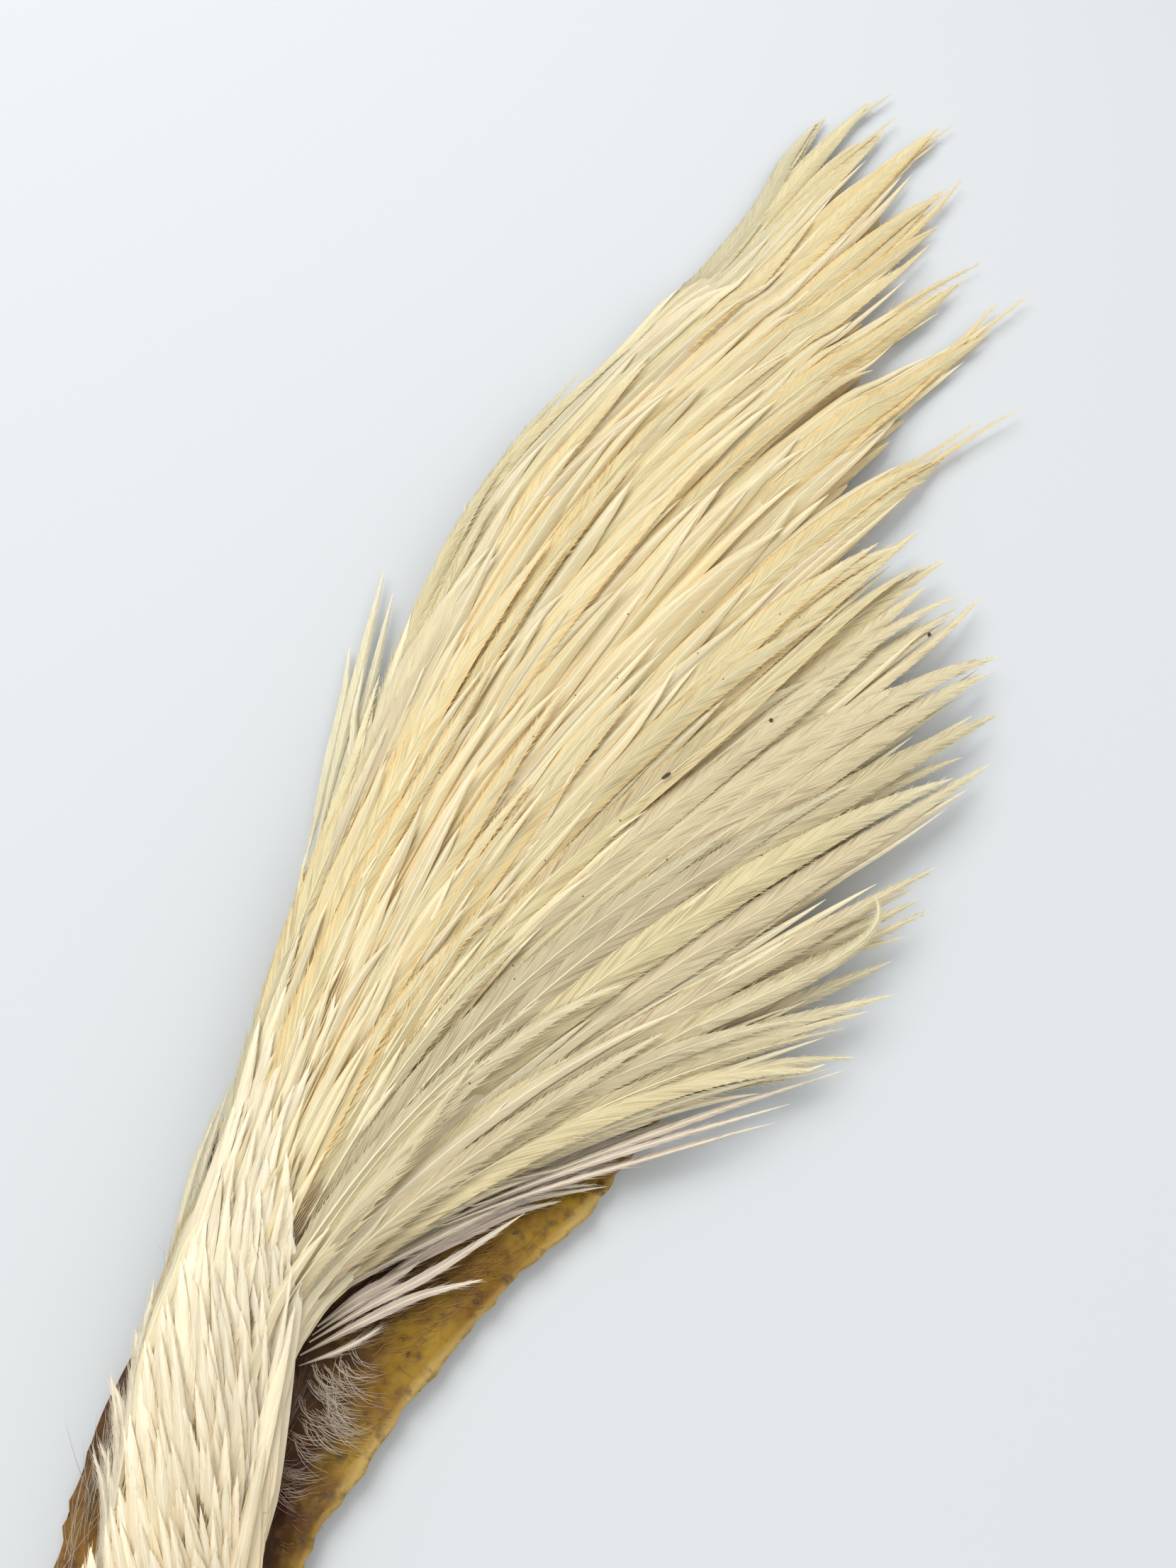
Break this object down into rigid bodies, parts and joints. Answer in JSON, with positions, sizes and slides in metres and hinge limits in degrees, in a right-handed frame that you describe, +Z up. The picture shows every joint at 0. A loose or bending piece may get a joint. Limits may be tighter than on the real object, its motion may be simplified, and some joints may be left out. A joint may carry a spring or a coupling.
{
  "type": "rooster cape pelt",
  "caption": "Dried rooster neck skin with its feathers on: narrow at the head end, then a one-sided fan of long slender cream hackles, with bare yellow hide along one edge.",
  "frame": {"origin": "on the skin's flat underside, on the neck near the head end, so that the surface it lies on is Z = 0", "axes": "+Y from the head end to the far feather tips, +X to the side where the fan opens and bare skin shows, +Z up through the feathers"},
  "size_m": [0.0863, 0.2829, 0.0119],
  "materials": {
    "skin": "dry hide, yellow ochre to brown, slightly waxy",
    "under_hackles": "feather and down, matt, golden in the shade",
    "hackles": "cream feather, soft sheen along the barbs",
    "neck_feathers": "pale cream feather, soft sheen"
  },
  "bodies": {
    "root": {"hackle_01": "hackles", "hackle_02": "hackles", "hackle_03": "hackles", "hackle_04": "hackles", "hackle_05": "hackles", "hackle_06": "hackles", "hackle_07": "hackles", "hackle_08": "hackles", "hackle_09": "hackles", "hackle_10": "hackles", "hackle_11": "hackles", "hackle_12": "hackles", "hackle_13": "hackles", "hackle_14": "hackles", "hackle_15": "hackles", "hackle_16": "hackles", "hackle_17": "hackles", "hackle_18": "hackles", "hackle_19": "hackles", "hackle_20": "hackles", "hackle_21": "hackles", "hackle_22": "hackles", "hackle_23": "hackles", "hackle_24": "hackles", "hackle_25": "hackles", "hackle_26": "hackles", "hackle_27": "hackles", "hackle_28": "hackles", "hackle_29": "hackles", "hackle_30": "hackles", "hackle_31": "hackles", "hackle_32": "hackles", "hackle_33": "hackles", "hackle_34": "hackles", "hackle_35": "hackles", "hackle_36": "hackles", "hackle_37": "hackles", "loose_hackle_1": "hackles", "loose_hackle_2": "hackles", "loose_hackle_3": "hackles", "loose_hackle_4": "hackles", "neck_feather_01": "neck_feathers", "neck_feather_02": "neck_feathers", "neck_feather_03": "neck_feathers", "neck_feather_04": "neck_feathers", "neck_feather_05": "neck_feathers", "neck_feather_06": "neck_feathers", "neck_feather_07": "neck_feathers", "neck_feather_08": "neck_feathers", "neck_feather_09": "neck_feathers", "neck_feather_10": "neck_feathers", "neck_feather_11": "neck_feathers", "neck_feather_12": "neck_feathers", "neck_feather_13": "neck_feathers", "neck_feather_14": "neck_feathers", "skin": "skin", "under_hackles": "under_hackles"}
  },
  "joints": []
}
